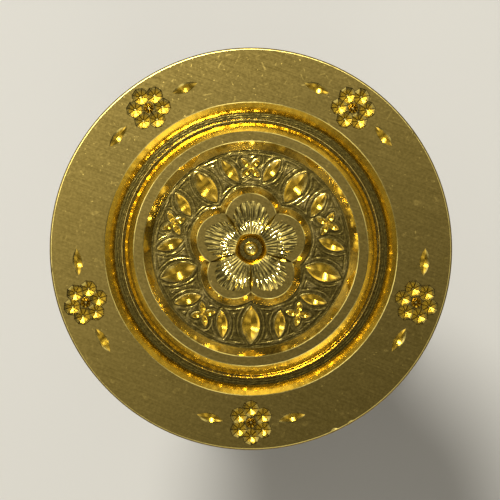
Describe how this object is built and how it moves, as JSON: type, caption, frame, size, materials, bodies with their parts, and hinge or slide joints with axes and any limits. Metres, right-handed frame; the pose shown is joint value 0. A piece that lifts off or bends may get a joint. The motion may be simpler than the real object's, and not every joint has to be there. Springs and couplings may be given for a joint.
{
  "type": "wax seal stamp",
  "caption": "Wax seal stamp: an engraved round brass head that unscrews from a turned wooden handle with a brass ferrule, standing face up on the handle's flat end.",
  "frame": {"origin": "centre of the handle's flat end, which the stamp stands on", "axes": "+Z along the stamp's axis from the handle's end to the engraved face, +Y to the top of the engraving"},
  "size_m": [0.025, 0.025, 0.0874],
  "materials": {
    "handle_wood": "oiled dark hardwood",
    "ferrule_brass": "polished brass",
    "insert_brass": "as-machined brass",
    "stud_steel": "bright zinc plated",
    "washer_fibre": "red vulcanised fibre",
    "head_brass": "brushed and engraved brass"
  },
  "bodies": {
    "handle_body": {"handle": "handle_wood", "ferrule": "ferrule_brass", "threaded_insert": "insert_brass", "stud": "stud_steel"},
    "washer_body": {"seat_washer": "washer_fibre"},
    "head_body": {"seal_head": "head_brass"}
  },
  "joints": [
    {"name": "head_travel", "type": "slide", "parent": "handle_body", "child": "washer_body", "axis": [0, 0, 1], "range_m": [0, 0.0091]},
    {"name": "head_turn", "type": "hinge", "parent": "washer_body", "child": "head_body", "pos_m": [0, 0, 0.0724], "axis": [0, 0, 1], "range_deg": [0, 3240]}
  ],
  "couplings": [
    {"joint": "head_travel", "follows": "head_turn", "m_per_rad": 0.00015915}
  ]
}
